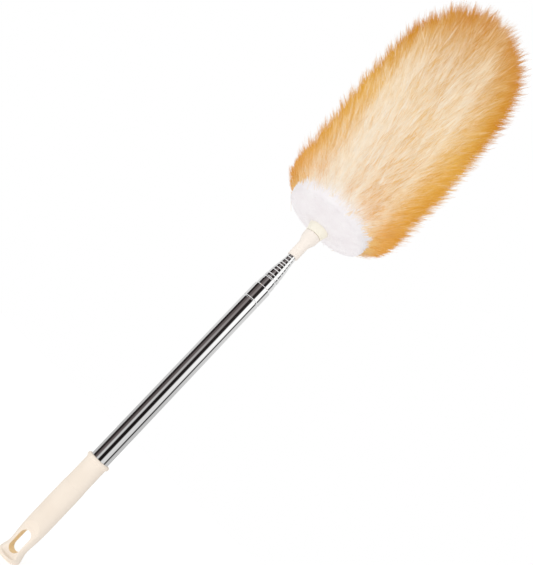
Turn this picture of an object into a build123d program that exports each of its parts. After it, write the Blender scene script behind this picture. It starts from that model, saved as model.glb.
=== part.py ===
"""Telescopic wool duster: a plastic grip, nine nested steel tubes and a screwed-on wool head.

Millimetres. +Z runs up the pole from the grip to the head. The origin is the centre of the hang slot,
whose through direction is Y.
"""

from build123d import *
from math import cos, radians, sin
import os

# ---- driving dimensions ------------------------------------------------------------------------
# Heights are measured from the free end of the grip, and up() turns them into Z.
SLOT_HEIGHT = 18.0          # centre of the hang slot, which is the origin
SLOT_LENGTH = 22.7
SLOT_WIDTH = 11.2
SLOT_FLATS = 15.4           # thickness of the grip between the two flats around the slot
SLOT_ROUND = 0.5            # rounding of the slot's two rims
FLAT_MARGIN = 2.6           # each flat runs this far past both ends of the slot
FLAT_SWEEP = 12.0           # and then sweeps out over this length
FLAT_TOE = 1.6              # the same at its lower end
FLAT_ROUND = 2.0            # rounding where a flat starts to sweep out
FLAT_CUT = 6.0              # depth of the cut that makes a flat

GRIP_LENGTH = 114.6
GRIP_FOOT_R = 12.2          # flange at the free end
GRIP_FOOT_ROUND = 2.4
GRIP_FOOT_EASE = 0.3        # the flange's side draws in by this much
GRIP_FOOT_EASE_RISE = 2.2   # over this height
GRIP_NECK_R = 10.3          # waist above the flange
GRIP_NECK = 10.5
GRIP_BODY_R = 11.8
GRIP_BODY = (48.0, 82.0)    # the body is widest between these heights
GRIP_TOP_R = 11.45
GRIP_TOP = 105.0
GRIP_BEAD_R = 13.0          # bead around the mouth
GRIP_BEAD_FOOT = 109.6
GRIP_BEAD_RISE = 1.6        # the bead swells out over this height
GRIP_BEAD_EASE = 0.5
GRIP_BEAD_ROUND = 1.7       # height of the bead's rounded lip
GRIP_LIP_INSET = 0.9
GRIP_LEAD_IN = 0.5          # chamfer around the mouth of the bore
GRIP_TUBE_SEAT = 58.0       # lower end of the outer tube in the grip
PLUG_FLANGE = 2.0
PLUG_HOLE_R = 5.0
PLUG_HOLE_DEPTH = 7.0
PLUG_FIT = 0.05             # radial gap around the plug's flange
PLUG_CHAMFER = 0.6
PLUG_DROP = 0.5             # gap between the plug and the feet of the inner tubes
SEAT_FIT = 0.02             # radial gap of a glued seat
PRESS_FIT = 0.01            # radial gap of a pressed seat
THROUGH = 20.0              # reach of a cut that goes right through

TUBE_1_OD = 20.0
TUBE_1_WALL = 0.4
TUBE_1_MOUTH = 355.0
TUBE_1_NECK_LENGTH = 8.0
NECK_TURN = 1.0             # a neck turns in over this length
TUBE_1_STOP = 26.0          # rolled stop groove below the mouth
TUBE_1_STOP_DEPTH = 0.55
GROOVE_HALF = 1.1           # half the length of a rolled groove

INNER_ODS = (17.2, 15.9, 14.9, 13.9, 12.7, 11.7, 10.6, 9.6)
INNER_WALL = 0.25
INNER_FOOT = 66.5           # all the inner tubes end at one level when the pole is closed
INNER_NECK_LENGTH = 1.6
MOUTH_STEPS = (10.0, 6.1, 4.2, 4.4, 3.4, 4.7, 4.8)   # each mouth stands this far above the one before
TUBE_2_STOP = 5.6           # rolled stop groove below the second tube's mouth
INNER_STOP = 6.6            # and below the mouth of each further tube
FOOT_LIP_SHARE = 0.65       # a tube's foot flares out by this share of the gap around it
FOOT_LIP_MOST = 0.6
FOOT_LIP_LENGTH = 0.6       # and the flare runs back to the tube over as much again
SLIDING_FIT = 0.10          # radial gap between a tube and the rolled neck that it slides through
SLEEVE_FIT = 0.05           # radial gap between a friction sleeve and the bore that it slides in
SLEEVE_FOOT = INNER_FOOT + 1.3
SLEEVE_LENGTH = 18.0
SLEEVE_SLIT = 1.4
SLEEVE_SLIT_REACH = 4.0     # length of the slit's cut across the wall
SLEEVE_CHAMFER = 0.3
SLEEVE_CLEARANCE = 0.4      # what is left between a sleeve and the groove that stops it

ADAPTER_FOOT = 395.0
ADAPTER_TOP = 428.8
ADAPTER_SLEEVE_R = 6.25
ADAPTER_SLEEVE_TOP = 411.4
ADAPTER_SHOULDER_R = 9.0
ADAPTER_SHOULDER = 420.6
ADAPTER_TOP_R = 9.9
ADAPTER_EDGE = 0.5
ADAPTER_RIBS = (399.0, 403.0, 407.0, 410.6)
RIB_HEIGHT = 0.16
RIB_WIDTH = 0.8
RIB_TAPER = 8               # draft of a rib's sides, in degrees
TUBE_9_TOP = 414.0          # the last tube ends inside the ferrule

SOCKET_FOOT = 429.1
SOCKET_FOOT_R = 10.2
SOCKET_SHOULDER_R = 12.1
SOCKET_SHOULDER = 437.2
SOCKET_RIM = 446.0
SOCKET_RIM_R = 12.7
SOCKET_LIP_RISE = 1.2       # height of the rim's rounded lip
SOCKET_LIP_INSET = 1.0
STUD_R = 4.0
STUD_FOOT = 416.0
STUD_TOP = 438.0
STUD_CHAMFER = 0.7
STUD_END_GAP = 0.6          # gap below the stud in its hole
HEX_LIFT = 1.1              # the hexagonal head starts this far above the socket's foot
HEX_R = 6.0
HEX_HEIGHT = 3.0
THREAD_FIT = 0.06           # radial gap between the stud and its hole

CORE_R = 8.0
CORE_BORE_R = 6.0
CORE_FOOT = 440.0
CORE_TOP = 758.0
HIDE_R = 10.0
HIDE_FOOT = 442.4
HIDE_TOP = 752.0
CAP_HEIGHT = 2.5
CAP_ROUND = 1.4
CAP_SPIGOT_WALL = 1.6
CAP_SPIGOT = 10.0
TACK_HEIGHTS = (451.0, 744.0)
TACK_TURNS = (0, 120, 240)
TACK_HEAD_R = 2.1
TACK_HEAD = 0.6
TACK_SHANK_R = 0.6
TACK_PAST_WALL = 1.6        # the shank's length past the outside of the core

HEAD_FOOT = 438.6
HEAD_TOP = 790.0
HEAD_R = 80.5               # widest radius of the pile
PILE_DOME = 674.0           # the pile's end above this is half an ellipsoid
PILE_WAIST = 608.6          # and between this and the dome it is a cylinder
PILE_SHOULDER_R = 74.2      # where the pile's side turns in to its foot
PILE_SHOULDER = 472.2
PILE_BELLY = 533.9          # between the shoulder and the waist the side bows in by PILE_BOW
PILE_BOW = 1.9
FLEECE_R = 50.0             # edge of the white base fleece
FLEECE_EDGE = 446.5
FLEECE_CROWN = 470.0
FLEECE_FLAT = 4.0           # the fleece's foot is flat for this far out from the socket
FLEECE_CURVE = (0.62, 2.2)  # its foot passes this share of its radius, this far above the flat
PILE_FOOT_ROUND = 30.0      # radius between the pile's side and the fleece's edge
CAP_GAP = 0.1               # gap between the pile and the core's cap
TOUCH = 0.05                # gap between soft parts and what they lie against

os.makedirs("parts", exist_ok=True)


def up(height):
    """Z of a point that stands this far above the free end of the grip."""
    return height - SLOT_HEIGHT


def save(builder, label):
    builder.part.label = label
    export_step(builder.part, f"parts/{label}.step")


def tube_profile(outer, wall, foot, mouth, lip, groove_drop, groove_depth, neck_length, neck_depth):
    """Closed (radius, height) outline of one rolled tube, from its foot up the outside and down the bore.

    The foot may flare out by lip. A rolled ring groove sits groove_drop below the mouth, and the mouth
    itself is necked in by neck_depth over neck_length. Both press the bore in with the wall.
    """
    r = outer / 2
    groove = mouth - groove_drop
    steps = [(foot, lip), (foot + FOOT_LIP_LENGTH, lip), (foot + 2 * FOOT_LIP_LENGTH, 0.0)]
    if groove_depth:
        steps += [(groove - GROOVE_HALF, 0.0), (groove - GROOVE_HALF / 3, -groove_depth)]
        steps += [(groove + GROOVE_HALF / 3, -groove_depth), (groove + GROOVE_HALF, 0.0)]
    if neck_depth:
        steps += [(mouth - neck_length, 0.0), (mouth - neck_length + NECK_TURN, -neck_depth)]
        steps += [(mouth, -neck_depth)]
    else:
        steps += [(mouth, 0.0)]
    outside = [(r + dr, up(h)) for h, dr in steps]
    inside = [(r + dr - wall, up(h)) for h, dr in reversed(steps)]
    return outside + inside


# ---- grip --------------------------------------------------------------------------------------
with BuildPart() as grip:
    with BuildSketch(Plane.XZ) as grip_side:
        with BuildLine():
            foot = Line((0, up(0)), (GRIP_FOOT_R - GRIP_FOOT_ROUND, up(0)))
            toe = TangentArc(foot @ 1, (GRIP_FOOT_R, up(GRIP_FOOT_ROUND)), tangent=(1, 0))
            side = Spline(
                toe @ 1,
                (GRIP_FOOT_R - GRIP_FOOT_EASE, up(GRIP_FOOT_ROUND + GRIP_FOOT_EASE_RISE)),
                (GRIP_NECK_R, up(GRIP_NECK)),
                (GRIP_NECK_R + GRIP_FOOT_EASE, up(2 * GRIP_NECK)),
                (GRIP_BODY_R, up(GRIP_BODY[0])),
                (GRIP_BODY_R, up(GRIP_BODY[1])),
                (GRIP_TOP_R, up(GRIP_TOP)),
                tangents=((0, 1), (0, 1)),
            )
            collar = Line(side @ 1, (GRIP_TOP_R, up(GRIP_BEAD_FOOT)))
            swell = TangentArc(
                collar @ 1,
                (GRIP_BEAD_R - GRIP_BEAD_EASE, up(GRIP_BEAD_FOOT + GRIP_BEAD_RISE)),
                tangent=(0, 1),
            )
            bead = ThreePointArc(swell @ 1, (GRIP_BEAD_R, up(GRIP_LENGTH - GRIP_BEAD_ROUND)),
                                 (GRIP_BEAD_R - GRIP_LIP_INSET, up(GRIP_LENGTH)))
            Polyline(bead @ 1, (0, up(GRIP_LENGTH)), (0, up(0)))
        make_face()
    revolve(axis=Axis.Z)
    # the bore that takes the outer tube and its plug
    with BuildSketch(Plane.XY.offset(up(GRIP_TUBE_SEAT - PLUG_FLANGE))):
        Circle(TUBE_1_OD / 2)
    extrude(amount=GRIP_LENGTH, mode=Mode.SUBTRACT)
    # a small lead-in around the mouth of the bore
    mouth_rims = grip.edges().filter_by(GeomType.CIRCLE).group_by(Axis.Z)[-1]
    chamfer(mouth_rims.sort_by(SortBy.RADIUS)[0], GRIP_LEAD_IN)
    # two flats, one on each face, whose upper ends sweep out into the round body
    land = SLOT_LENGTH / 2 + FLAT_MARGIN
    outside = SLOT_FLATS / 2 + FLAT_CUT
    for face in (1, -1):
        with BuildSketch(Plane.YZ):
            with BuildLine():
                Polyline(
                    (face * SLOT_FLATS / 2, -land),
                    (face * SLOT_FLATS / 2, land),
                    (face * outside, land + FLAT_SWEEP),
                    (face * outside, -land - FLAT_TOE),
                    close=True,
                )
            make_face()
            flat_ends = [v for v in vertices() if abs(abs(v.X) - SLOT_FLATS / 2) < 0.01]
            fillet(flat_ends, FLAT_ROUND)
        extrude(amount=THROUGH, both=True, mode=Mode.SUBTRACT)
    # the hang slot
    with BuildSketch(Plane.XZ):
        SlotOverall(SLOT_LENGTH, SLOT_WIDTH, rotation=90)
    extrude(amount=THROUGH, both=True, mode=Mode.SUBTRACT)
    slot_rims = [
        e for e in grip.edges()
        if abs(abs(e.center().Y) - SLOT_FLATS / 2) < 0.02 and abs(e.center().X) < SLOT_WIDTH / 2 + 0.1
        and abs(e.center().Z) < SLOT_LENGTH / 2 + 0.1
    ]
    fillet(slot_rims, SLOT_ROUND)
save(grip, "grip")

# ---- plug in the lower end of the outer tube ---------------------------------------------------
with BuildPart() as tube_plug:
    with BuildSketch(Plane.XY.offset(up(GRIP_TUBE_SEAT - PLUG_FLANGE))):
        Circle(TUBE_1_OD / 2 - PLUG_FIT)
    extrude(amount=PLUG_FLANGE)
    with BuildSketch(Plane.XY.offset(up(GRIP_TUBE_SEAT))):
        Circle(TUBE_1_OD / 2 - TUBE_1_WALL - SEAT_FIT)
    extrude(amount=INNER_FOOT - PLUG_DROP - GRIP_TUBE_SEAT)
    chamfer(tube_plug.edges().group_by(Axis.Z)[-1], PLUG_CHAMFER)
    # a blind hole keeps the wall of the moulding even
    with BuildSketch(Plane.XY.offset(up(GRIP_TUBE_SEAT - PLUG_FLANGE))):
        Circle(PLUG_HOLE_R)
    extrude(amount=PLUG_HOLE_DEPTH, mode=Mode.SUBTRACT)
save(tube_plug, "tube_plug")

# ---- the nest of tubes -------------------------------------------------------------------------
# A tube's neck and stop groove both close to a sliding fit on the outside of the tube within it.
TUBE_1_NECK_DEPTH = TUBE_1_OD / 2 - TUBE_1_WALL - INNER_ODS[0] / 2 - SLIDING_FIT
with BuildPart() as tube_1:
    with BuildSketch(Plane.XZ):
        with BuildLine():
            Polyline(
                *tube_profile(
                    TUBE_1_OD, TUBE_1_WALL, GRIP_TUBE_SEAT, TUBE_1_MOUTH, 0.0,
                    TUBE_1_STOP, TUBE_1_STOP_DEPTH, TUBE_1_NECK_LENGTH, TUBE_1_NECK_DEPTH,
                ),
                close=True,
            )
        make_face()
    revolve(axis=Axis.Z)
save(tube_1, "tube_1")

mouths = [TUBE_1_MOUTH]
for step in MOUTH_STEPS:
    mouths.append(mouths[-1] + step)
mouths.append(TUBE_9_TOP)
bores = [TUBE_1_OD / 2 - TUBE_1_WALL] + [od / 2 - INNER_WALL for od in INNER_ODS]
stops = [TUBE_1_STOP, TUBE_2_STOP] + [INNER_STOP] * (len(INNER_ODS) - 1)

travels = []
for i, od in enumerate(INNER_ODS):
    last = i == len(INNER_ODS) - 1
    gap = bores[i] - od / 2
    squeeze = 0.0 if last else bores[i + 1] - INNER_ODS[i + 1] / 2 - SLIDING_FIT
    with BuildPart() as tube:
        with BuildSketch(Plane.XZ):
            with BuildLine():
                Polyline(
                    *tube_profile(
                        od, INNER_WALL, INNER_FOOT, mouths[i + 1],
                        min(FOOT_LIP_MOST, FOOT_LIP_SHARE * gap),
                        stops[i + 1], squeeze, INNER_NECK_LENGTH, squeeze,
                    ),
                    close=True,
                )
            make_face()
        revolve(axis=Axis.Z)
    save(tube, f"tube_{i + 2}")

    with BuildPart() as sleeve:
        with BuildSketch(Plane.XY.offset(up(SLEEVE_FOOT))):
            Circle(bores[i] - SLEEVE_FIT)
            Circle(od / 2 + PRESS_FIT, mode=Mode.SUBTRACT)
            # the slit that lets the sleeve spring outwards
            with Locations((bores[i], 0)):
                Rectangle(SLEEVE_SLIT_REACH + 2 * gap, SLEEVE_SLIT, mode=Mode.SUBTRACT)
        extrude(amount=SLEEVE_LENGTH)
        if i == 0:
            rims = sleeve.edges().filter_by(GeomType.CIRCLE).group_by(Axis.Z)[-1]
            chamfer(rims.sort_by(SortBy.RADIUS)[-1], SLEEVE_CHAMFER)
    save(sleeve, f"sleeve_{i + 2}")

    # the sleeve stops where the tube around it is pressed in by its stop groove
    groove_edge = mouths[i] - stops[i] - GROOVE_HALF
    travels.append(groove_edge - (SLEEVE_FOOT + SLEEVE_LENGTH) - SLEEVE_CLEARANCE)

# ---- ferrule on the last tube ------------------------------------------------------------------
with BuildPart() as pole_adapter:
    with BuildSketch(Plane.XZ):
        with BuildLine():
            Polyline((0, up(ADAPTER_FOOT)), (ADAPTER_SLEEVE_R - ADAPTER_EDGE, up(ADAPTER_FOOT)),
                     (ADAPTER_SLEEVE_R, up(ADAPTER_FOOT + ADAPTER_EDGE)),
                     (ADAPTER_SLEEVE_R, up(ADAPTER_SLEEVE_TOP)))
            flare = Spline((ADAPTER_SLEEVE_R, up(ADAPTER_SLEEVE_TOP)),
                           (ADAPTER_SHOULDER_R, up(ADAPTER_SHOULDER)),
                           (ADAPTER_TOP_R, up(ADAPTER_TOP - ADAPTER_EDGE)),
                           tangents=((0, 1), (0.08, 1)))
            Polyline(flare @ 1, (ADAPTER_TOP_R - ADAPTER_EDGE, up(ADAPTER_TOP)), (0, up(ADAPTER_TOP)),
                     (0, up(ADAPTER_FOOT)))
        make_face()
    revolve(axis=Axis.Z)
    # low ribs around the narrow sleeve
    for height in ADAPTER_RIBS:
        with BuildSketch(Plane.XY.offset(up(height - RIB_WIDTH / 2))):
            Circle(ADAPTER_SLEEVE_R + RIB_HEIGHT)
        extrude(amount=RIB_WIDTH, taper=RIB_TAPER)
    # seat of the last tube, below, and the tapped hole of the stud, above
    with BuildSketch(Plane.XY.offset(up(ADAPTER_FOOT))):
        Circle(INNER_ODS[-1] / 2 + PRESS_FIT)
    extrude(amount=TUBE_9_TOP - ADAPTER_FOOT, mode=Mode.SUBTRACT)
    with BuildSketch(Plane.XY.offset(up(STUD_FOOT - STUD_END_GAP))):
        Circle(STUD_R + THREAD_FIT)
    extrude(amount=THROUGH, mode=Mode.SUBTRACT)
save(pole_adapter, "pole_adapter")

# ---- stud with a hexagonal head moulded in the socket ------------------------------------------
HEX_FOOT = SOCKET_FOOT + HEX_LIFT
with BuildPart() as head_stud:
    with BuildSketch(Plane.XY.offset(up(STUD_FOOT))):
        Circle(STUD_R)
    extrude(amount=STUD_TOP - STUD_FOOT)
    chamfer(head_stud.edges().group_by(Axis.Z)[0], STUD_CHAMFER)
    with BuildSketch(Plane.XY.offset(up(HEX_FOOT))):
        RegularPolygon(HEX_R, 6)
    extrude(amount=HEX_HEIGHT)
save(head_stud, "head_stud")

# ---- socket of the head ------------------------------------------------------------------------
with BuildPart() as head_socket:
    with BuildSketch(Plane.XZ):
        with BuildLine():
            Polyline((0, up(SOCKET_FOOT)), (SOCKET_FOOT_R - ADAPTER_EDGE, up(SOCKET_FOOT)),
                     (SOCKET_FOOT_R, up(SOCKET_FOOT + ADAPTER_EDGE)))
            swell = Spline((SOCKET_FOOT_R, up(SOCKET_FOOT + ADAPTER_EDGE)),
                           (SOCKET_SHOULDER_R, up(SOCKET_SHOULDER)),
                           (SOCKET_RIM_R, up(SOCKET_RIM - SOCKET_LIP_RISE)),
                           tangents=((0.1, 1), (0, 1)))
            lip = TangentArc(swell @ 1, (SOCKET_RIM_R - SOCKET_LIP_INSET, up(SOCKET_RIM)), tangent=(0, 1))
            Polyline(lip @ 1, (0, up(SOCKET_RIM)), (0, up(SOCKET_FOOT)))
        make_face()
    revolve(axis=Axis.Z)
    # seats of the core and of the wound hide
    with BuildSketch(Plane.XY.offset(up(CORE_FOOT))):
        Circle(CORE_R + SEAT_FIT)
    extrude(amount=THROUGH, mode=Mode.SUBTRACT)
    with BuildSketch(Plane.XY.offset(up(HIDE_FOOT))):
        Circle(HIDE_R + TOUCH)
    extrude(amount=THROUGH, mode=Mode.SUBTRACT)
    # the moulding closes around the stud
    add(head_stud.part, mode=Mode.SUBTRACT)
save(head_socket, "head_socket")

# ---- tacks, core, cap and hide -----------------------------------------------------------------
with BuildPart() as hide_tacks:
    for height in TACK_HEIGHTS:
        for turn in TACK_TURNS:
            direction = (cos(radians(turn)), sin(radians(turn)), 0)
            on_hide = Plane(
                origin=(direction[0] * HIDE_R, direction[1] * HIDE_R, up(height)), z_dir=direction)
            with BuildSketch(on_hide):
                Circle(TACK_HEAD_R)
            extrude(amount=TACK_HEAD)
            with BuildSketch(on_hide):
                Circle(TACK_SHANK_R)
            extrude(amount=-(HIDE_R - CORE_R + TACK_PAST_WALL))
save(hide_tacks, "hide_tacks")

with BuildPart() as core_tube:
    with BuildSketch(Plane.XY.offset(up(CORE_FOOT))):
        Circle(CORE_R)
        Circle(CORE_BORE_R, mode=Mode.SUBTRACT)
    extrude(amount=CORE_TOP - CORE_FOOT)
    add(hide_tacks.part, mode=Mode.SUBTRACT)
save(core_tube, "core_tube")

with BuildPart() as core_cap:
    with BuildSketch(Plane.XY.offset(up(CORE_TOP))):
        Circle(CORE_R)
    extrude(amount=CAP_HEIGHT)
    fillet(core_cap.edges().group_by(Axis.Z)[-1], CAP_ROUND)
    with BuildSketch(Plane.XY.offset(up(CORE_TOP))):
        Circle(CORE_BORE_R - SEAT_FIT)
        Circle(CORE_BORE_R - CAP_SPIGOT_WALL, mode=Mode.SUBTRACT)
    extrude(amount=-CAP_SPIGOT)
save(core_cap, "core_cap")

with BuildPart() as hide:
    with BuildSketch(Plane.XY.offset(up(HIDE_FOOT))):
        Circle(HIDE_R)
        Circle(CORE_R + SEAT_FIT, mode=Mode.SUBTRACT)
    extrude(amount=HIDE_TOP - HIDE_FOOT)
    add(hide_tacks.part, mode=Mode.SUBTRACT)
save(hide, "hide")

# ---- fleece and pile ---------------------------------------------------------------------------
# Both are closed solids of the soft parts' true outside. The fleece fills the foot of the head
# around the socket, and the pile stands on it.


def fleece_top():
    """Line between the fleece and the pile, from the rim in to the hide."""
    return Spline((FLEECE_R, up(FLEECE_EDGE)), (0.6 * FLEECE_R, up((FLEECE_EDGE + FLEECE_CROWN) / 2 - 0.7)),
                  (HIDE_R + TOUCH, up(FLEECE_CROWN)), tangents=((-1, 0.45), (-1, 0.6)))


with BuildPart() as base_fleece:
    with BuildSketch(Plane.XZ):
        with BuildLine():
            flat = Line((SOCKET_RIM_R + TOUCH, up(HEAD_FOOT)), (SOCKET_RIM_R + FLEECE_FLAT, up(HEAD_FOOT)))
            Spline(flat @ 1, (FLEECE_CURVE[0] * FLEECE_R, up(HEAD_FOOT + FLEECE_CURVE[1])),
                   (FLEECE_R, up(FLEECE_EDGE)), tangents=((1, 0), (1, 0.55)))
            crown = fleece_top()
            Polyline(crown @ 1, (HIDE_R + TOUCH, up(SOCKET_RIM + TOUCH)),
                     (SOCKET_RIM_R + TOUCH, up(SOCKET_RIM + TOUCH)), flat @ 0)
        make_face()
    revolve(axis=Axis.Z)
    add(hide_tacks.part, mode=Mode.SUBTRACT)
save(base_fleece, "base_fleece")

dome = [
    (HEAD_R * cos(radians(turn)), up(PILE_DOME) + (HEAD_TOP - PILE_DOME) * sin(radians(turn)))
    for turn in (0, 22.5, 45, 67.5, 90)
]
cap_top = CORE_TOP + CAP_HEIGHT + CAP_GAP
with BuildPart() as pile:
    with BuildSketch(Plane.XZ):
        with BuildLine():
            crown = fleece_top()
            Polyline(crown @ 1, (HIDE_R + TOUCH, up(HIDE_TOP + CAP_GAP)),
                     (CORE_R + TOUCH, up(HIDE_TOP + CAP_GAP)),
                     (CORE_R + TOUCH, up(cap_top)), (0, up(cap_top)), (0, up(HEAD_TOP)))
            Spline(*dome, tangents=((0, 1), (-1, 0)))
            Line((HEAD_R, up(PILE_DOME)), (HEAD_R, up(PILE_WAIST)))
            Spline((HEAD_R, up(PILE_WAIST)), (HEAD_R - PILE_BOW, up(PILE_BELLY)),
                   (PILE_SHOULDER_R, up(PILE_SHOULDER)), tangents=((0, -1), (-0.14, -1)))
            RadiusArc((PILE_SHOULDER_R, up(PILE_SHOULDER)), (FLEECE_R, up(FLEECE_EDGE)), PILE_FOOT_ROUND)
        make_face()
    revolve(axis=Axis.Z)
    add(hide_tacks.part, mode=Mode.SUBTRACT)
save(pile, "pile")

print("travels", [round(t, 1) for t in travels], "total", round(sum(travels), 1))
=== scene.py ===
"""Looks of the telescopic wool duster: the hair of its head, materials, floor, lights and camera.

Metres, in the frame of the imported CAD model.
"""
from math import cos, pi, radians, sin

import bpy
import numpy as np
from mathutils import Matrix, Vector


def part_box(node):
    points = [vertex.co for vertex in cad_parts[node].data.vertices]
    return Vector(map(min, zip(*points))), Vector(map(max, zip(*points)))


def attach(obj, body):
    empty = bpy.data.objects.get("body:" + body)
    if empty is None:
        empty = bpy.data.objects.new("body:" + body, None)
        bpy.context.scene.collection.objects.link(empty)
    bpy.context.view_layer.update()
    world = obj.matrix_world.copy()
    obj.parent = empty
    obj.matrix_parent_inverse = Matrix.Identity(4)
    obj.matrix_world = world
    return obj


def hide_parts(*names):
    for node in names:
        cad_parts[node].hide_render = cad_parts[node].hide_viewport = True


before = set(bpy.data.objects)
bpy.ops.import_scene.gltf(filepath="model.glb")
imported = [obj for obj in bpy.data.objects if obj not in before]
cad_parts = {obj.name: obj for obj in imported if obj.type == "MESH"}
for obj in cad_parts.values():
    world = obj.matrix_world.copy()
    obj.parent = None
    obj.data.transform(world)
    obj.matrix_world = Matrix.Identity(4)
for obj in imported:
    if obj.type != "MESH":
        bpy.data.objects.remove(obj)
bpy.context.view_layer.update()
MM = 0.001
scene = bpy.context.scene

GRIP_LOW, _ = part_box("grip")
_, TUBE_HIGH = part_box("tube_1")
_, SOCKET_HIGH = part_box("head_socket")
PILE_LOW, PILE_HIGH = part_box("pile")

CAMERA_TURN = 12.0                       # the camera stands this far round from square on, in degrees
CAMERA_TILT = 15.0                       # and looks up by this much
CAMERA_ROLL = 43.53
CAMERA_DISTANCE = 0.6825
CAMERA_AIM_X = -1.1 * MM                 # it aims this far beside the mouth of the outer tube
CAMERA_LENS = 41.4

SLOT_HALF_LINE = 5.75 * MM               # half the straight part of the hang slot
SLOT_R = 5.6 * MM
FLAT_Y = 7.7 * MM                        # where the flats round the slot stand


# ---- camera ------------------------------------------------------------------------------------
def make_camera():
    """The pole climbs to the upper right and leans away, seen from a little below square on."""
    turn, tilt, roll = radians(CAMERA_TURN), radians(CAMERA_TILT), radians(CAMERA_ROLL)
    aim = Vector((CAMERA_AIM_X, 0, TUBE_HIGH[2]))
    forward = Vector((-sin(turn) * cos(tilt), cos(turn) * cos(tilt), sin(tilt)))
    right = Vector((cos(turn), sin(turn), 0))
    up = right.cross(forward)
    x_axis = cos(roll) * right + sin(roll) * up
    y_axis = -sin(roll) * right + cos(roll) * up
    data = bpy.data.cameras.new("camera")
    data.sensor_width = 36.0
    data.lens = CAMERA_LENS
    data.clip_end = 50.0
    camera = bpy.data.objects.new("camera", data)
    scene.collection.objects.link(camera)
    rotation = Matrix((x_axis, y_axis, -forward)).transposed()
    camera.matrix_world = Matrix.Translation(aim - CAMERA_DISTANCE * forward) @ rotation.to_4x4()
    scene.camera = camera


# ---- node helpers ------------------------------------------------------------------------------
class Nodes:
    """A material with a Principled shader, or another node tree, and short ways to add and join nodes."""

    def __init__(self, name, tree=None):
        if tree is None:
            self.material = bpy.data.materials.new(name)
            self.material.use_nodes = True
            tree = self.material.node_tree
            self.shader = tree.nodes["Principled BSDF"]
        self.tree = tree

    def add(self, kind, **settings):
        node = self.tree.nodes.new(kind)
        for key, value in settings.items():
            setattr(node, key, value)
        return node

    def join(self, output, socket):
        self.tree.links.new(output, socket)

    def coords(self, scale=(1, 1, 1)):
        source = self.add("ShaderNodeTexCoord")
        mapping = self.add("ShaderNodeMapping")
        mapping.inputs["Scale"].default_value = scale
        self.join(source.outputs["Object"], mapping.inputs["Vector"])
        return mapping.outputs["Vector"]

    def noise(self, scale, detail=3.0, roughness=0.5, stretch=(1, 1, 1)):
        node = self.add("ShaderNodeTexNoise")
        node.inputs["Scale"].default_value = scale
        node.inputs["Detail"].default_value = detail
        node.inputs["Roughness"].default_value = roughness
        self.join(self.coords(stretch), node.inputs["Vector"])
        return node.outputs["Fac"]

    def math(self, operation, a, b=None):
        node = self.add("ShaderNodeMath", operation=operation)
        for socket, value in zip(node.inputs, (a, b)):
            if isinstance(value, (int, float)):
                socket.default_value = value
            elif value is not None:
                self.join(value, socket)
        return node.outputs[0]

    def ramp(self, factor, stops):
        node = self.add("ShaderNodeValToRGB")
        elements = node.color_ramp.elements
        while len(elements) < len(stops):
            elements.new(0.5)
        for element, (place, colour) in zip(elements, stops):
            element.position = place
            element.color = (*colour, 1.0) if len(colour) == 3 else colour
        self.join(factor, node.inputs["Fac"])
        return node.outputs["Color"]

    def mix(self, factor, a, b, blend="MIX"):
        node = self.add("ShaderNodeMix", data_type="RGBA", blend_type=blend)
        for socket, value in ((node.inputs["Factor"], factor), (node.inputs[6], a), (node.inputs[7], b)):
            if isinstance(value, (int, float)):
                socket.default_value = value
            elif isinstance(value, tuple):
                socket.default_value = (*value, 1.0)
            else:
                self.join(value, socket)
        return node.outputs[2]

    def bump(self, height, strength, distance):
        node = self.add("ShaderNodeBump")
        node.inputs["Strength"].default_value = strength
        node.inputs["Distance"].default_value = distance
        self.join(height, node.inputs["Height"])
        self.join(node.outputs["Normal"], self.shader.inputs["Normal"])

    def colour(self, output):
        self.join(output, self.shader.inputs["Base Color"])

    def rough(self, factor, low, high):
        node = self.add("ShaderNodeMapRange")
        node.inputs["To Min"].default_value = low
        node.inputs["To Max"].default_value = high
        self.join(factor, node.inputs["Value"])
        self.join(node.outputs["Result"], self.shader.inputs["Roughness"])


def grey(value):
    """A grey as linear values."""
    return (value, value, value)


def linear(red, green, blue):
    """An sRGB colour, 0 to 255, as linear values."""
    return tuple(((c / 255 + 0.055) / 1.055) ** 2.4 for c in (red, green, blue))


# ---- materials of the CAD pieces ---------------------------------------------------------------
def cream_plastic(name, dark, light):
    """Warm ivory polypropylene with a fine mould grain."""
    m = Nodes(name)
    base = m.ramp(m.noise(38.0, 2.0), [(0.3, dark), (0.7, light)])
    speckle = m.noise(2600.0, 1.0)
    m.colour(m.mix(m.math("MULTIPLY", speckle, 0.05), base, linear(208, 186, 158)))
    m.rough(m.noise(420.0, 2.0), 0.38, 0.52)
    m.bump(m.noise(1500.0, 2.0), 0.12, 0.0002)
    m.shader.inputs["Specular IOR Level"].default_value = 0.4
    return m


def grip_plastic():
    """The same plastic, with painted golden shade on the wall inside the hang slot."""
    m = cream_plastic("cream_plastic", linear(240, 227, 212), linear(245, 233, 219))
    base = m.shader.inputs["Base Color"].links[0].from_socket
    split = m.add("ShaderNodeSeparateXYZ")
    m.join(m.coords(), split.inputs[0])
    x, y, z = split.outputs
    # distance from the middle line of the round-ended slot
    along = m.math("MAXIMUM", m.math("SUBTRACT", m.math("ABSOLUTE", z), SLOT_HALF_LINE), 0.0)
    across = m.math("SQRT", m.math("ADD", m.math("MULTIPLY", x, x), m.math("MULTIPLY", along, along)))
    in_slot = m.math("LESS_THAN", across, SLOT_R + 0.1 * MM)
    deep = m.math("LESS_THAN", m.math("ABSOLUTE", y), FLAT_Y - 0.5 * MM)
    # painted shade: the wall deep inside the slot, away from the flats, is tinted golden
    wall = m.math("MULTIPLY", m.math("MULTIPLY", in_slot, deep), 0.85)
    m.colour(m.mix(wall, base, linear(246, 218, 156)))
    return m.material


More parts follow.
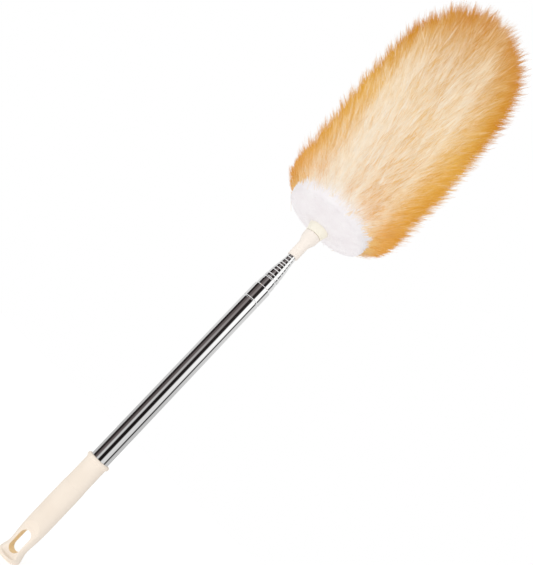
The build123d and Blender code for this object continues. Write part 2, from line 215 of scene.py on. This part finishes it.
def polished_steel():
    """Drawn stainless tube, polished, with faint lengthwise draw lines."""
    m = Nodes("polished_steel")
    lines = m.noise(900.0, 2.0, stretch=(1, 1, 0.01))
    m.colour(m.ramp(lines, [(0.35, grey(0.80)), (0.65, (0.92, 0.915, 0.91))]))
    m.shader.inputs["Metallic"].default_value = 1.0
    m.rough(m.noise(700.0, 3.0, stretch=(1, 1, 0.02)), 0.03, 0.08)
    m.bump(lines, 0.03, 0.00005)
    return m.material


def plain(name, colour, metallic, low, high, grain):
    """Material of a small or hidden piece: a base colour with a fine cloud, grain and uneven gloss."""
    m = Nodes(name)
    darker = tuple(c * 0.85 for c in colour)
    m.colour(m.ramp(m.noise(grain, 3.0), [(0.35, darker), (0.65, colour)]))
    m.shader.inputs["Metallic"].default_value = metallic
    m.rough(m.noise(grain * 2, 2.0), low, high)
    m.bump(m.noise(grain * 4, 2.0), 0.1, 0.0001)
    return m.material


def dress(material, *names):
    """Gives CAD nodes a material."""
    for name in names:
        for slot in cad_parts[name].material_slots:
            slot.material = material


def dress_cad():
    dress(grip_plastic(), "grip")
    ferrule = cream_plastic("ferrule_plastic", linear(246, 236, 226), linear(249, 241, 232))
    dress(ferrule.material, "pole_adapter")
    socket = cream_plastic("socket_plastic", linear(250, 243, 224), linear(252, 247, 232))
    dress(socket.material, "head_socket")
    dress(polished_steel(), *[f"tube_{i}" for i in range(1, 10)])
    dress(plain("black_plastic", grey(0.03), 0.0, 0.4, 0.6, 300.0), "tube_plug")
    dress(plain("spring_brass", (0.72, 0.52, 0.24), 1.0, 0.2, 0.35, 500.0),
          *[f"sleeve_{i}" for i in range(3, 10)])
    dress(plain("stud_steel", (0.56, 0.56, 0.57), 1.0, 0.25, 0.4, 600.0), "head_stud", "hide_tacks")
    dress(plain("core_plastic", (0.78, 0.78, 0.75), 0.0, 0.45, 0.6, 200.0),
          "sleeve_2", "core_tube", "core_cap")
    dress(plain("hide_leather", (0.74, 0.64, 0.50), 0.0, 0.7, 0.9, 250.0), "hide")


# ---- the head's outline, read from its CAD solids ----------------------------------------------
SLICES = 60                              # bands of height in which the pile's widest point is taken


def node_points(name):
    """Distance from the pole's axis, and height, of each point of a CAD node."""
    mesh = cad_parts[name].data
    flat = np.empty(len(mesh.vertices) * 3)
    mesh.vertices.foreach_get("co", flat)
    points = flat.reshape(-1, 3)
    return np.hypot(points[:, 0], points[:, 1]), points[:, 2]


class Outline:
    """A curve in radius and height, where s is the share of its length, 0 to 1."""

    def __init__(self, r, z):
        length = np.concatenate([[0], np.cumsum(np.hypot(np.diff(z), np.diff(r)))])
        self.s, self.r, self.z = length / length[-1], np.array(r), np.array(z)

    def at(self, s):
        return np.interp(s, self.s, self.r), np.interp(s, self.s, self.z)

    def normal(self, s):
        """Outward (radial, upward) parts of the surface normal."""
        low, high = self.at(np.clip(s - 0.01, 0, 1)), self.at(np.clip(s + 0.01, 0, 1))
        dr, dz = high[0] - low[0], high[1] - low[1]
        size = np.hypot(dr, dz)
        return dz / size, -dr / size


def pile_outline():
    """The pile's side from the edge of the base fleece, over the shoulder, to the free end."""
    radius, height = node_points("pile")
    edges = np.linspace(PILE_LOW[2], PILE_HIGH[2], SLICES)
    r, z = [], []
    for low, high in zip(edges[:-1], edges[1:]):
        here = (height >= low) & (height <= high)
        if here.any():
            widest = np.argmax(np.where(here, radius, 0))
            if not r or height[widest] > z[-1]:
                r.append(radius[widest])
                z.append(height[widest])
    return Outline(np.array(r + [0.0]), np.array(z + [PILE_HIGH[2]]))


# ---- hair --------------------------------------------------------------------------------------
RNG = np.random.default_rng(71)
SPIRAL = 2.399963                        # turn from one tuft to the next, which spreads them evenly
FOOT = PILE_LOW[2]                       # where the long hair begins, at the rim of the base fleece
COLOUR_REACH = 1.07 * (PILE_HIGH[2] - FOOT)      # the dye and the lean are laid out over this height
LEAN_SHARES = [-0.1, 0.1, 0.3, 0.5, 0.75, 1.0]   # the head leans by these millimetres at these shares
LEAN = [0, 2.0, 1.0, -3.0, -6.8, -12.0]
# colour waves round and along the head: turns, climb for each metre, start and size
WAVES = [
    (3, 9, 0.4, 0.30),
    (7, 17, 2.1, 0.26),
    (13, 23, 4.4, 0.22),
    (23, 34, 1.3, 0.20),
    (37, 41, 5.2, 0.16),
]


def unit(v):
    """Vectors scaled to length one."""
    return v / np.maximum(np.linalg.norm(v, axis=-1, keepdims=True), 1e-9)


def lean_head(points):
    """The combed head bulges to one side at its foot and leans to the other side at its free end."""
    share = (points[..., 2] - FOOT) / COLOUR_REACH
    points[..., 0] += MM * np.interp(share, LEAN_SHARES, LEAN)
    return points


def combed(s, turn):
    """How far the hair lies over towards the free end, in degrees, along the outline.

    The front and the back of the head are combed flatter than its two sides.
    """
    lie = np.interp(s, [0.0, 0.06, 0.14, 0.3, 0.62, 0.8, 0.92, 1.0],
                    [30, 36, 40, 43, 42, 46, 62, 88])
    flatter = np.interp(s, [0.0, 0.06, 0.3, 0.62, 0.85], [0, 10, 18, 18, 0])
    return lie + flatter * np.sin(turn) ** 2


def streaks(turn, z):
    """A slow change of colour, about -1 to 1, drawn out along the flow of the hair."""
    return sum(size * np.sin(count * turn + climb * (z + 0.02 * np.sin(2 * turn)) + start)
               for count, climb, start, size in WAVES)


class Coat:
    """Hairs in tufts. The tip of each tuft stands on a surface, and its root lies inside.

    stretch: the part of the outline that the tips cover. length: least and most. spread: how far the
    hairs of a tuft stand apart at the root and at the tip. past: least and most reach of the tips past
    the surface. ragged: the most that a hair is shorter than its tuft, as a share. lie: the function
    that says how far the hair lies over. sweep: its usual bend in degrees. No root is below floor.
    """

    def __init__(self, surface, tufts, hairs, rows, stretch, length, spread, past, width, ragged=0.35,
                 lie=combed, sweep=26, floor=FOOT + 2 * MM):
        # tips spread evenly over the area of the surface
        trial = np.linspace(*stretch, 400)
        share = np.cumsum(np.maximum(surface.at(trial)[0], 6 * MM))
        s = np.interp((np.arange(tufts) + RNG.random(tufts)) / tufts, share / share[-1], trial)
        turn = (np.arange(tufts) * SPIRAL + RNG.normal(0, 0.25, tufts)) % (2 * pi)
        r, z = surface.at(s)
        lean = np.radians(lie(s, turn) + RNG.normal(0, 6.0, tufts))
        swing = np.radians(RNG.normal(0, 8.0, tufts))
        out = np.stack([np.cos(turn), np.sin(turn), np.zeros(tufts)], axis=1)
        around = np.stack([-np.sin(turn), np.cos(turn), np.zeros(tufts)], axis=1)
        up = np.array([0.0, 0.0, 1.0])
        ahead = out * np.cos(lean)[:, None] + up * np.sin(lean)[:, None]
        ahead = unit(ahead * np.cos(swing)[:, None] + around * np.sin(swing)[:, None])
        across = unit(np.cross(around, ahead))
        size = RNG.uniform(*length, tufts)
        if floor is not None:
            room = (z - floor) / np.maximum(np.sin(lean), 0.2)
            size = np.clip(size, 7 * MM, np.maximum(room, 7 * MM))
        normal_r, normal_z = surface.normal(s)
        tip = out * r[:, None] + up * z[:, None]
        tip += (out * normal_r[:, None] + up * normal_z[:, None]) * RNG.uniform(*past, tufts)[:, None]
        bend = size * np.radians(RNG.normal(sweep, 9, tufts))

        own = np.repeat(np.arange(tufts), hairs)
        total = len(own)
        angle, reach = RNG.random(total) * 2 * pi, np.sqrt(RNG.random(total))
        end = 1 - ragged * RNG.random(total) ** 1.4
        self.along = (1 - (1 - np.linspace(0, 1, rows)) ** 1.5)[None, :] * np.ones((total, 1))
        back = 1 - self.along * end[:, None]
        apart = spread[1] + (spread[0] - spread[1]) * back ** 0.8
        wave = np.sin(self.along * RNG.uniform(4, 8, total)[:, None] + RNG.random(total)[:, None] * 2 * pi)
        sideways = (np.cos(angle) * reach)[:, None] * apart + wave * RNG.normal(0, 0.6 * MM, total)[:, None]
        over = (np.sin(angle) * reach)[:, None] * apart - 0.5 * bend[own][:, None] * back ** 2
        self.points = tip[own][:, None, :] - ahead[own][:, None, :] * (size[own][:, None] * back)[..., None]
        self.points += around[own][:, None, :] * sideways[..., None]
        self.points += across[own][:, None, :] * over[..., None]
        taper = 1.03 - self.along ** 7
        self.widths = width * RNG.uniform(0.7, 1.25, total)[:, None] * taper
        roll = RNG.random(total) * pi
        self.sides = around[own] * np.cos(roll)[:, None] + across[own] * np.sin(roll)[:, None]
        self.from_tip = size[own][:, None] * end[:, None] * (1 - self.along)
        self.turn, self.z, self.s, self.tuft = turn[own], z[own], s[own], own
        self.points = lean_head(self.points)

    def piece(self, name, slot, stands_for, colours, material, chosen):
        """One mesh of flat tapered hairs, each point with its own colour (hairs, rows, 3)."""
        points, widths, sides = self.points[chosen], self.widths[chosen], self.sides[chosen]
        along, colours = self.along[chosen], colours[chosen]
        hairs, rows = points.shape[:2]
        half = sides[:, None, :] * widths[..., None] / 2
        corners = np.stack([points - half, points + half], axis=2).reshape(-1, 3)
        mesh = bpy.data.meshes.new(name)
        mesh.vertices.add(len(corners))
        mesh.vertices.foreach_set("co", corners.astype(np.float32).ravel())
        first = (np.arange(hairs)[:, None] * rows + np.arange(rows - 1)[None, :]).reshape(-1) * 2
        quads = np.stack([first, first + 1, first + 3, first + 2], axis=1)
        mesh.loops.add(quads.size)
        mesh.loops.foreach_set("vertex_index", quads.astype(np.int32).ravel())
        mesh.polygons.add(len(quads))
        mesh.polygons.foreach_set("loop_start", np.arange(0, quads.size, 4, dtype=np.int32))
        mesh.polygons.foreach_set("use_smooth", np.ones(len(quads), bool))
        coat = np.ones((hairs, rows, 2, 4), np.float32)
        coat[..., :3] = colours[:, :, None, :]
        mesh.attributes.new("coat", "FLOAT_COLOR", "POINT").data.foreach_set("color", coat.ravel())
        # Each hair has a small cell of its own in the UV map, from root to tip, so that a baked
        # colour keeps the change along the hair.
        cells = int(np.ceil(np.sqrt(hairs)))
        place = np.arange(hairs)
        v = (place // cells)[:, None, None] + 0.1 + 0.8 * along[..., None] * np.ones((1, 1, 2))
        u = (place % cells)[:, None, None] + np.array([0.25, 0.75]) * np.ones_like(v)
        uv = (np.stack([u, v], axis=-1) / cells).reshape(-1, 2)[quads.ravel()]
        mesh.uv_layers.new(name="OFBake").data.foreach_set("uv", uv.astype(np.float32).ravel())
        mesh.update()
        mesh.validate()
        mesh.materials.append(material)
        made = bpy.data.objects.new(name, mesh)
        scene.collection.objects.link(made)
        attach(made, "head")
        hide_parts(stands_for)
        return made


def smooth(x):
    """A soft step from 0 at 0 to 1 at 1."""
    x = np.clip(x, 0, 1)
    return x * x * (3 - 2 * x)


def ramp_rows(value, stops):
    """Colours along a list of (place, colour) stops, one for each value."""
    places = [place for place, _ in stops]
    return np.stack([np.interp(value, places, [colour[k] for _, colour in stops]) for k in range(3)], -1)


PALE_ROOT = linear(252, 247, 240)
PALE_SHAFT = linear(251, 238, 220)
SIDE_SHAFT = np.array(linear(244, 206, 140))
DEEP = np.array(linear(206, 128, 26))
LIGHT = np.array(linear(251, 228, 194))
AMBER = [(0.0, linear(228, 150, 50)), (0.15, linear(230, 166, 60)), (0.4, linear(232, 176, 70)),
         (0.62, linear(216, 154, 50)), (0.82, linear(212, 150, 72)), (0.94, linear(232, 190, 150))]


def dye(coat, depth, reach, haze, vary=0.22, deepen=0.0):
    """Colour of each point: pale wool, dyed amber over the last stretch before the tip.

    The dye is strong over reach and fades out as a tint of strength haze over three times that. It
    goes deeper at the two sides and at the free end of the head, and by deepen all over. Tufts differ
    by vary.
    """
    share = np.clip((coat.z - FOOT) / COLOUR_REACH, 0, 1)
    amber = ramp_rows(share, AMBER)
    side = np.abs(np.cos(coat.turn)) ** (3.2 + 1.2 * np.cos(coat.turn))
    end = smooth((share - 0.5) / 0.35) * (1 - 0.8 * smooth((share - 0.80) / 0.10))
    deeper = side * (1.1 + 0.1 * np.cos(coat.turn)) + 0.6 * end
    flow = streaks(coat.turn, coat.z) + RNG.normal(0, vary, coat.tuft.max() + 1)[coat.tuft]
    patch = side - 0.42 + deepen + 0.7 * end + 0.45 * flow + RNG.normal(0, 0.06, len(coat.z))
    amber = amber + (DEEP - amber) * np.clip(patch, 0, 0.7)[:, None]
    amber = amber + (LIGHT - amber) * np.clip(-1.5 * patch, 0, 1)[:, None]
    shaft = ramp_rows(coat.along, [(0.0, PALE_ROOT), (0.6, PALE_SHAFT), (1.0, PALE_SHAFT)])
    shaft = shaft + (SIDE_SHAFT - shaft) * np.clip(deeper, 0, 1)[:, None, None]
    start = (reach * RNG.uniform(0.8, 1.2, len(coat.z)) * (0.8 + 0.8 * deeper + 0.3 * flow))[:, None]
    strong = smooth((start - coat.from_tip) / (0.7 * start))
    faint = haze * smooth((3 * start - coat.from_tip) / (2.5 * start))
    amount = depth * np.maximum(strong, faint)
    return shaft + (amber[:, None, :] - shaft) * amount[..., None]


def wool(name, low=0.92):
    """Wool whose colour comes from the hairs, broken up by fine procedural streaks."""
    m = Nodes(name)
    coat = m.add("ShaderNodeAttribute", attribute_name="coat")
    streak = m.ramp(m.noise(160.0, 2.0), [(0.3, grey(low)), (0.7, grey(1.0))])
    m.colour(m.mix(1.0, coat.outputs["Color"], streak, "MULTIPLY"))
    m.rough(m.noise(300.0, 2.0), 0.6, 0.85)
    m.shader.inputs["Specular IOR Level"].default_value = 0.1
    return m.material


def felt(name, dark, light, r, z, lumps, stands_for):
    """A closed surface of revolution with soft lumps: wool lying close against the hide."""
    count = 120
    turns = np.linspace(0, 2 * pi, count, endpoint=False)
    r, z = np.array(r), np.array(z)
    swell = np.sin(5 * turns[None, :] + 40 * z[:, None]) + np.sin(9 * turns[None, :] - 90 * z[:, None])
    radius = np.maximum(r[:, None] + lumps * swell * np.minimum(r[:, None] / 0.03, 1), 0.0)
    points = np.stack([radius * np.cos(turns), radius * np.sin(turns), np.repeat(z[:, None], count, 1)], -1)
    faces = []
    for low in range(0, (len(r) - 1) * count, count):
        high = low + count
        for j in range(count):
            ahead = (j + 1) % count
            faces.append((low + j, low + ahead, high + ahead, high + j))
    mesh = bpy.data.meshes.new(name)
    mesh.from_pydata(lean_head(points.reshape(-1, 3)).tolist(), [], faces)
    mesh.polygons.foreach_set("use_smooth", [True] * len(faces))
    mesh.update()
    m = Nodes(name)
    m.colour(m.ramp(m.noise(70.0, 4.0), [(0.3, dark), (0.7, light)]))
    m.rough(m.noise(200.0, 2.0), 0.8, 0.95)
    m.bump(m.noise(420.0, 4.0), 0.7, 0.0015)
    mesh.materials.append(m.material)
    made = bpy.data.objects.new(name, mesh)
    scene.collection.objects.link(made)
    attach(made, "head")
    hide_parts(stands_for)


# The layers of the head as shares of the CAD pile, from the inside out: the felt that hides the core,
# the tips of the pale underwool and the tips of the dyed hair. Each lift is its foot's height above FOOT.
FELT_RADIUS, FELT_LIFT, FELT_HEIGHT = 0.68, 0.022, 0.867
PALE_RADIUS, PALE_LIFT, PALE_HEIGHT = 0.84, 0.010, 0.931
TIPS_HEIGHT = 0.976
FULL_SHARES = [0.3, 0.5, 0.7, 0.85, 1.0]         # the dyed hair stands past the pile by these factors
FULL = [1.0, 1.02, 1.035, 1.07, 1.09]


def make_pile():
    surface = pile_outline()
    height = surface.z - FOOT
    inner = Outline(surface.r * PALE_RADIUS, FOOT + PALE_LIFT + height * PALE_HEIGHT)
    r, z = surface.at(np.linspace(0.02, 1, 60))
    core_z = FOOT + FELT_LIFT + (z - FOOT) * FELT_HEIGHT
    felt("wool_felt", linear(246, 226, 198), linear(251, 240, 224), np.append(r * FELT_RADIUS, 0.0),
         np.append(core_z, core_z[-1]), 0.0012, "pile")

    pale = Coat(inner, tufts=5200, hairs=10, rows=4, stretch=(0.0, 1.0), length=(0.024, 0.036),
                spread=(0.0042, 0.0014), past=(-0.004, 0.006), width=0.0008, floor=FOOT + 6 * MM)
    shade(pale, "wool_pale", dye(pale, 0.3, 0.010, 0.4))
    full = np.interp(height / (PILE_HIGH[2] - FOOT), FULL_SHARES, FULL)
    tips = Outline(surface.r * full, FOOT + height * TIPS_HEIGHT)
    fine = Coat(tips, tufts=16000, hairs=5, rows=5, stretch=(0.055, 1.0), length=(0.032, 0.046),
                spread=(0.0045, 0.0026), past=(-0.010, -0.001), width=0.00028, ragged=0.3)
    shade(fine, "wool_dyed", dye(fine, 1.0, 0.0125, 0.35, 0.3))
    long = Coat(tips, tufts=5200, hairs=8, rows=6, stretch=(0.09, 1.0), length=(0.044, 0.060),
                spread=(0.0045, 0.0006), past=(-0.004, 0.006), width=0.00030, ragged=0.3)
    shade(long, "wool_long", dye(long, 1.0, 0.018, 0.4, 0.55))
    wisps = Coat(tips, tufts=1300, hairs=6, rows=6, stretch=(0.12, 1.0), length=(0.045, 0.062),
                 spread=(0.0030, 0.0003), past=(0.003, 0.008), width=0.00026, ragged=0.25)
    shade(wisps, "wool_wisps", dye(wisps, 1.0, 0.022, 0.4, 0.55))
    crest = Coat(tips, tufts=320, hairs=8, rows=6, stretch=(0.72, 1.0), length=(0.050, 0.068),
                 spread=(0.0032, 0.0003), past=(0.003, 0.010), width=0.00030, ragged=0.3)
    shade(crest, "wool_crest", dye(crest, 0.9, 0.024, 0.4, 0.5, 0.35), 1)
    rim = Coat(tips, tufts=1100, hairs=7, rows=4, stretch=(0.06, 0.13), length=(0.014, 0.024),
               spread=(0.0030, 0.0012), past=(-0.004, 0.000), width=0.00030)
    shade(rim, "wool_rim", dye(rim, 0.8, 0.013, 0.45), 1)


def shade(coat, name, colours, parts=4):
    """Splits a coat into stretches of the head and makes a piece of each."""
    material = wool(name)
    part = np.clip((coat.s * parts).astype(int), 0, parts - 1)
    for k in range(parts):
        open_up(coat.piece(f"{name}_{k + 1}", "gold_pile", "pile", colours, material, part == k))


def open_up(hair):
    """Lets light pass through loose hair to what lies under it."""
    hair.visible_shadow = False
    hair.visible_diffuse = False


# ---- the white fleece at the head's foot -------------------------------------------------------
FLEECE_LIFT = 3.5 * MM                   # its felt lies this far inside the CAD fleece, away from the socket
ROLL_R = [0.0505, 0.0518, 0.0528, 0.0525, 0.0500, 0.0435]    # its side, which turns in under the pile
ROLL_RISE = np.array([0.003, 0.009, 0.016, 0.022, 0.028, 0.033])


def fleece_lie(s, turn):
    """The short hair points down and outwards at the foot, and up where the side turns in."""
    return np.interp(s, [0, 0.45, 0.7, 1.0], [-55, -45, -15, 40])


def make_fleece():
    radius, height = node_points("base_fleece")
    r = np.linspace(SOCKET_HIGH[0] - 0.0010, radius.max() - 0.001, 12)
    z = np.array([height[np.abs(radius - max(v, r[1])) < 0.0035].min() for v in r])
    z[0] += 0.5 * MM
    z += FLEECE_LIFT * smooth((r - r[0]) / 0.02)
    rim = z[-1]
    r = np.concatenate([r, ROLL_R])
    z = np.concatenate([z, rim + ROLL_RISE])
    felt("fleece_felt", linear(240, 234, 236), linear(246, 242, 243), r, z, 0.00025,
         "base_fleece")

    coat = Coat(Outline(r, z), tufts=4000, hairs=8, rows=4, stretch=(0.0, 0.95), length=(0.008, 0.013),
                spread=(0.0018, 0.0014), past=(0.0005, 0.0018), width=0.0003, lie=fleece_lie, floor=None)
    white = np.ones(coat.points.shape) * np.array(linear(245, 241, 242))
    every = np.ones(len(coat.s), bool)
    hair = coat.piece("fleece_hair", "white_fleece", "base_fleece", white, wool("fleece_hair", 0.97), every)
    open_up(hair)


# ---- floor, world and lights -------------------------------------------------------------------
FLOOR_SIZE = 3.0     # half the floor's side
FLOOR_DROP = 0.5 * MM
FLOOR_GLOW = 0.32    # keeps the floor as white as the room


def make_floor():
    mesh = bpy.data.meshes.new("floor")
    size, level = FLOOR_SIZE, GRIP_LOW[2] - FLOOR_DROP
    corners = [(x * size, y * size, level) for x, y in ((-1, -1), (1, -1), (1, 1), (-1, 1))]
    mesh.from_pydata(corners, [], [(0, 1, 2, 3)])
    floor = bpy.data.objects.new("floor", mesh)
    scene.collection.objects.link(floor)
    m = Nodes("floor")
    m.colour(m.ramp(m.noise(3.0, 2.0), [(0.3, grey(0.93)), (0.7, grey(0.95))]))
    m.shader.inputs["Roughness"].default_value = 0.9
    m.shader.inputs["Emission Color"].default_value = (1, 1, 1, 1)
    m.shader.inputs["Emission Strength"].default_value = FLOOR_GLOW
    mesh.materials.append(m.material)
    floor.visible_glossy = False


AMBIENT = 0.62       # brightness of the white room as matt surfaces see it

# The studio that the polished pole mirrors: panels that stand round it, each from one turn to another,
# in degrees from the camera's own side, and how bright each is to the pole's lower and upper ends.
PANELS = [
    (-170, -105, 0.60, 0.80),            # white wall
    (-95, -75, 0.02, 0.02),              # black flag
    (-65, -50, 0.12, 0.12),              # grey card
    (-35, -25, 0.70, 0.25),              # strip light
    (-15, 15, 0.01, 0.02),               # black flag beside the camera
    (25, 60, 0.80, 1.25),                # softbox
    (72, 80, 0.00, 0.00),                # narrow flag
    (90, 170, 0.60, 0.80),               # white wall
]
PANEL_RISE = (0.00, 0.20)            # upward part of the mirrored direction for those two ends
PANEL_TINT = 0.08                    # the darker a panel is, the warmer
SKY_RISE = (0.30, 0.50)              # the white ceiling fades in between these rises
FLOOR_RISE = (-0.22, -0.40)          # and the floor between these
FLOOR_LIGHT = 0.85


def studio_stops(end):
    """Colours round the horizon for one end of the pole, as stops of a ramp over a whole turn."""
    stops = []
    for start, stop, *brightness in PANELS:
        bright = brightness[end]
        warm = PANEL_TINT * max(0.0, 1 - 2 * bright)
        colour = (bright * (1 + 2 * warm), bright * (1 - warm), bright * (1 - warm))
        for edge in (start, stop):
            share = (CAMERA_TURN - 90 + edge + 180) / 360
            stops.append((share % 1.0, colour))
    return sorted(stops)


def make_world():
    """White to the eye and to matt surfaces; gloss reflects dark flags and bright softboxes."""
    world = bpy.data.worlds.new("studio")
    scene.world = world
    world.use_nodes = True
    world.node_tree.nodes.clear()
    m = Nodes("studio", world.node_tree)
    coord = m.add("ShaderNodeTexCoord")
    split = m.add("ShaderNodeSeparateXYZ")
    m.join(coord.outputs["Generated"], split.inputs[0])
    x, y, z = split.outputs
    turn = m.math("ARCTAN2", y, x)
    share = m.math("ADD", m.math("DIVIDE", turn, 2 * pi), 0.5)
    mirrored = m.ramp(share, studio_stops(0))
    upper = m.ramp(share, studio_stops(1))
    for low, high, beyond in ((*PANEL_RISE, upper), (*SKY_RISE, grey(1.0)), (*FLOOR_RISE, grey(FLOOR_LIGHT))):
        rise = m.add("ShaderNodeMapRange")
        rise.inputs["From Min"].default_value = low
        rise.inputs["From Max"].default_value = high
        m.join(z, rise.inputs["Value"])
        mirrored = m.mix(rise.outputs["Result"], mirrored, beyond)
    path = m.add("ShaderNodeLightPath")
    seen = m.mix(path.outputs["Is Camera Ray"], grey(AMBIENT), grey(1.0))
    back = m.add("ShaderNodeBackground")
    m.join(m.mix(path.outputs["Is Glossy Ray"], seen, mirrored), back.inputs["Color"])
    out = m.add("ShaderNodeOutputWorld")
    m.join(back.outputs[0], out.inputs["Surface"])


def sun(name, strength, turn, height, softness):
    """A soft light from the side at turn and height. All three angles are in degrees."""
    data = bpy.data.lights.new(name, "SUN")
    data.energy = strength
    data.angle = radians(softness)
    light = bpy.data.objects.new(name, data)
    scene.collection.objects.link(light)
    towards = Vector((cos(radians(turn)) * cos(radians(height)), sin(radians(turn)) * cos(radians(height)),
                      sin(radians(height))))
    light.visible_glossy = False
    light.rotation_mode = "QUATERNION"
    light.rotation_quaternion = towards.to_track_quat("Z", "Y")


def make_lights():
    sun("key", 0.85, -100, 25, 40)
    sun("fill", 0.25, -30, -10, 70)
    sun("back", 0.3, 100, 30, 70)


scene.view_settings.view_transform = "Standard"
make_camera()
make_world()
make_lights()
make_floor()
dress_cad()
make_pile()
make_fleece()
